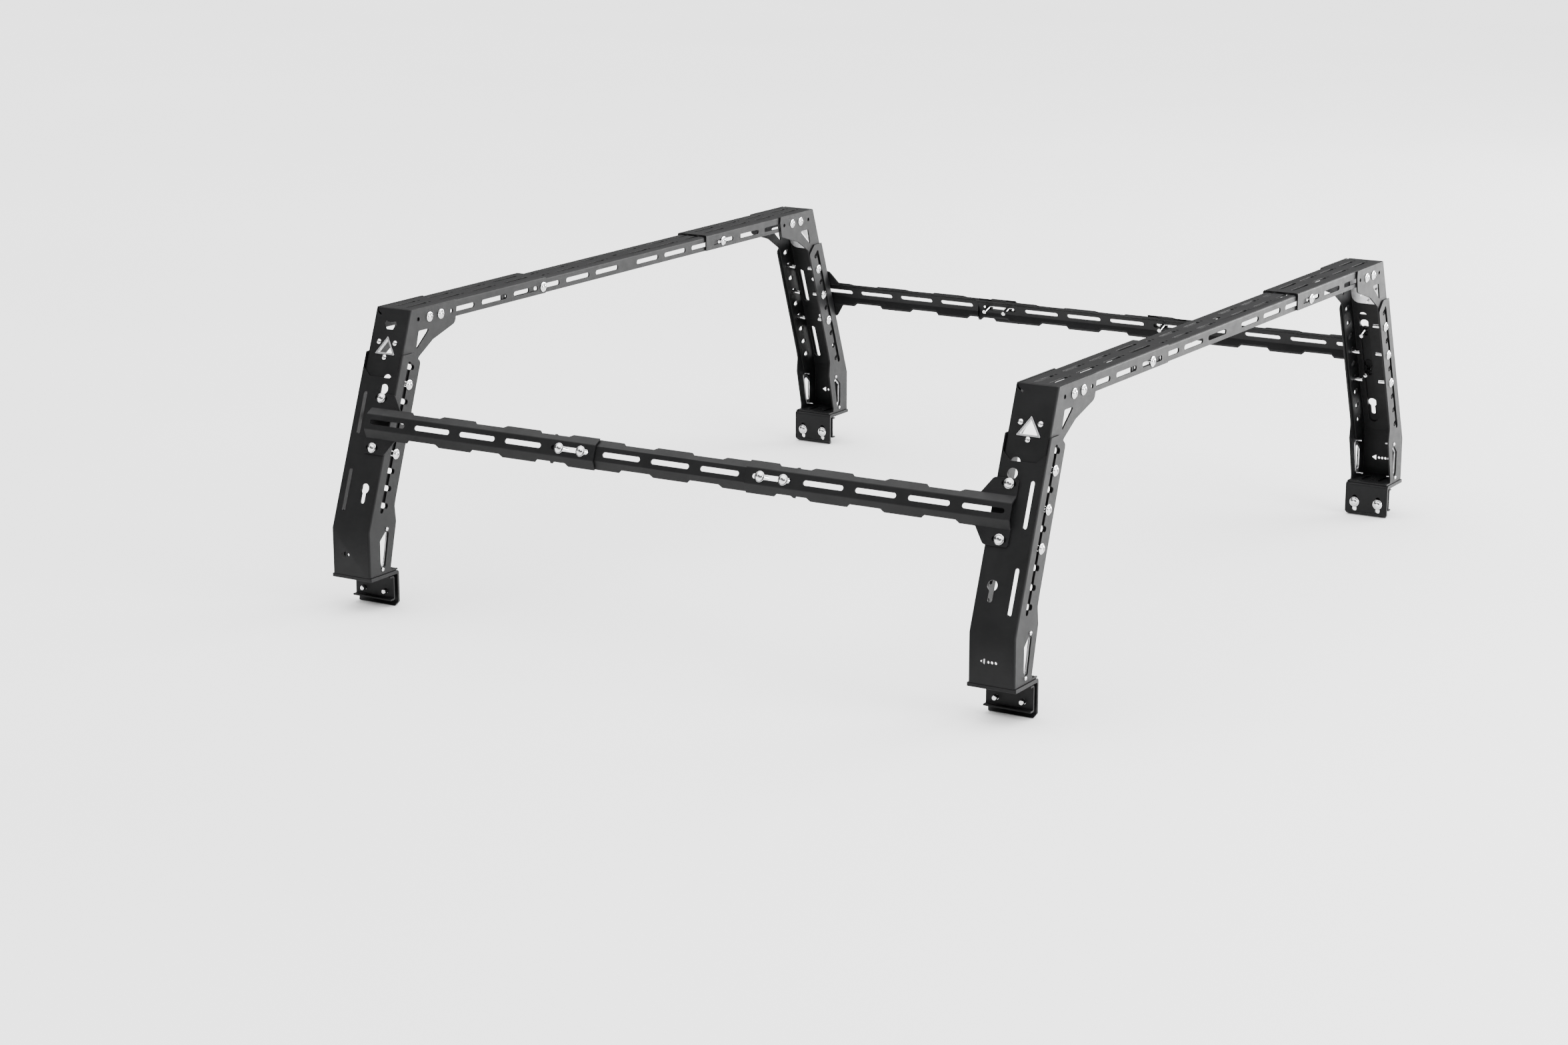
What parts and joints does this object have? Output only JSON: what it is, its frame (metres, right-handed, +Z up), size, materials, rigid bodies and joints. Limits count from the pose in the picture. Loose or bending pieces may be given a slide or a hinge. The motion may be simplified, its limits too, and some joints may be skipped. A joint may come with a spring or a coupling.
{
  "type": "adjustable truck bed ladder rack",
  "caption": "Low overland rack for a pickup bed: four leaning telescoping posts, two slotted crossbars and two slotted side rails, clamped to the bed rails.",
  "frame": {"origin": "plan centre of the rack, at the bottom of its four hanging clamp plates", "axes": "+Z up, +X towards the tailgate, +Y towards the right side of the truck"},
  "size_m": [1.3226, 1.6128, 0.5058],
  "materials": {
    "coat": "fine textured matte",
    "bolts": "polished",
    "trim": "satin"
  },
  "bodies": {
    "lower_lf": {"lower_post_lf": "coat", "base_bracket_lf": "coat", "height_bolts_lf_outer": "bolts", "height_bolts_lf_inner": "bolts", "rail_end_bolts_lf": "bolts", "left_rail_front": "coat"},
    "upper_lf": {"upper_post_lf": "coat", "triangle_trim_lf": "trim", "corner_bolts_lf": "bolts", "front_bar_left_sleeve": "coat", "front_bar_left_bolts": "bolts"},
    "clamp_lf": {"clamp_channel_lf": "coat", "clamp_bolts_lf": "bolts"},
    "lower_lr": {"lower_post_lr": "coat", "base_bracket_lr": "coat", "height_bolts_lr_outer": "bolts", "height_bolts_lr_inner": "bolts", "rail_end_bolts_lr": "bolts", "left_rail_rear": "coat"},
    "upper_lr": {"upper_post_lr": "coat", "triangle_trim_lr": "trim", "corner_bolts_lr": "bolts", "rear_bar_left_sleeve": "coat"},
    "clamp_lr": {"clamp_channel_lr": "coat", "clamp_bolts_lr": "bolts"},
    "lower_rf": {"lower_post_rf": "coat", "base_bracket_rf": "coat", "height_bolts_rf_outer": "bolts", "height_bolts_rf_inner": "bolts", "rail_end_bolts_rf": "bolts", "right_rail_front": "coat"},
    "upper_rf": {"upper_post_rf": "coat", "triangle_trim_rf": "trim", "corner_bolts_rf": "bolts", "front_bar_right_sleeve": "coat"},
    "clamp_rf": {"clamp_channel_rf": "coat", "clamp_bolts_rf": "bolts"},
    "lower_rr": {"lower_post_rr": "coat", "base_bracket_rr": "coat", "height_bolts_rr_outer": "bolts", "height_bolts_rr_inner": "bolts", "rail_end_bolts_rr": "bolts", "right_rail_rear": "coat"},
    "upper_rr": {"upper_post_rr": "coat", "triangle_trim_rr": "trim", "corner_bolts_rr": "bolts", "rear_bar_right_sleeve": "coat"},
    "clamp_rr": {"clamp_channel_rr": "coat", "clamp_bolts_rr": "bolts"},
    "front_mid": {"front_bar_middle": "coat"},
    "rear_mid": {"rear_bar_middle": "coat", "rear_bar_left_bolts": "bolts"},
    "front_right_splice": {"front_bar_right_bolts": "bolts"},
    "rear_right_splice": {"rear_bar_right_bolts": "bolts"},
    "left_rail_mid": {"left_rail_middle": "coat", "left_rail_front_bolts": "bolts", "left_rail_rear_bolts": "bolts"},
    "right_rail_mid": {"right_rail_middle": "coat", "right_rail_front_bolts": "bolts", "right_rail_rear_bolts": "bolts"}
  },
  "joints": [
    {"name": "height", "type": "slide", "parent": "lower_lf", "child": "upper_lf", "axis": [0, 0.3453, 0.9385], "range_m": [0, 0.0604]},
    {"name": "front_mid_centre", "type": "slide", "parent": "upper_lf", "child": "front_mid", "axis": [0, 1, 0], "range_m": [-0.0209, 0]},
    {"name": "width", "type": "slide", "parent": "front_mid", "child": "front_right_splice", "axis": [0, 1, 0], "range_m": [-0.006, 0.045]},
    {"name": "front_right_sleeve_in", "type": "slide", "parent": "front_right_splice", "child": "upper_rf", "axis": [0, 1, 0], "range_m": [-0.0209, 0]},
    {"name": "height_rf", "type": "slide", "parent": "upper_rf", "child": "lower_rf", "axis": [0, -0.3453, 0.9385], "range_m": [-0.0604, 0]},
    {"name": "length", "type": "slide", "parent": "lower_lf", "child": "left_rail_mid", "axis": [1, 0, 0], "range_m": [-0.009, 0.009]},
    {"name": "length_rear", "type": "slide", "parent": "left_rail_mid", "child": "lower_lr", "axis": [1, 0, 0], "range_m": [-0.009, 0.009]},
    {"name": "height_lr", "type": "slide", "parent": "lower_lr", "child": "upper_lr", "axis": [0, 0.3453, 0.9385], "range_m": [0, 0.0604]},
    {"name": "rear_mid_centre", "type": "slide", "parent": "upper_lr", "child": "rear_mid", "axis": [0, 1, 0], "range_m": [-0.0209, 0]},
    {"name": "width_rear", "type": "slide", "parent": "rear_mid", "child": "rear_right_splice", "axis": [0, 1, 0], "range_m": [-0.006, 0.045]},
    {"name": "rear_right_sleeve_in", "type": "slide", "parent": "rear_right_splice", "child": "upper_rr", "axis": [0, 1, 0], "range_m": [-0.0209, 0]},
    {"name": "height_rr", "type": "slide", "parent": "upper_rr", "child": "lower_rr", "axis": [0, -0.3453, 0.9385], "range_m": [-0.0604, 0]},
    {"name": "length_right", "type": "slide", "parent": "lower_rf", "child": "right_rail_mid", "axis": [1, 0, 0], "range_m": [-0.009, 0.009]},
    {"name": "clamp_lf_slide", "type": "slide", "parent": "lower_lf", "child": "clamp_lf", "axis": [0, 0, 1], "range_m": [-0.012, 0.0015]},
    {"name": "clamp_lr_slide", "type": "slide", "parent": "lower_lr", "child": "clamp_lr", "axis": [0, 0, 1], "range_m": [-0.012, 0.0015]},
    {"name": "clamp_rf_slide", "type": "slide", "parent": "lower_rf", "child": "clamp_rf", "axis": [0, 0, 1], "range_m": [-0.012, 0.0015]},
    {"name": "clamp_rr_slide", "type": "slide", "parent": "lower_rr", "child": "clamp_rr", "axis": [0, 0, 1], "range_m": [-0.012, 0.0015]}
  ],
  "couplings": [
    {"joint": "front_mid_centre", "follows": "height", "ratio": -0.3453},
    {"joint": "front_right_sleeve_in", "follows": "height", "ratio": -0.3453},
    {"joint": "height_rf", "follows": "height", "ratio": -1},
    {"joint": "length_rear", "follows": "length", "ratio": 1},
    {"joint": "height_lr", "follows": "height", "ratio": 1},
    {"joint": "rear_mid_centre", "follows": "height", "ratio": -0.3453},
    {"joint": "width_rear", "follows": "width", "ratio": 1},
    {"joint": "rear_right_sleeve_in", "follows": "height", "ratio": -0.3453},
    {"joint": "height_rr", "follows": "height", "ratio": -1},
    {"joint": "length_right", "follows": "length", "ratio": 1}
  ]
}
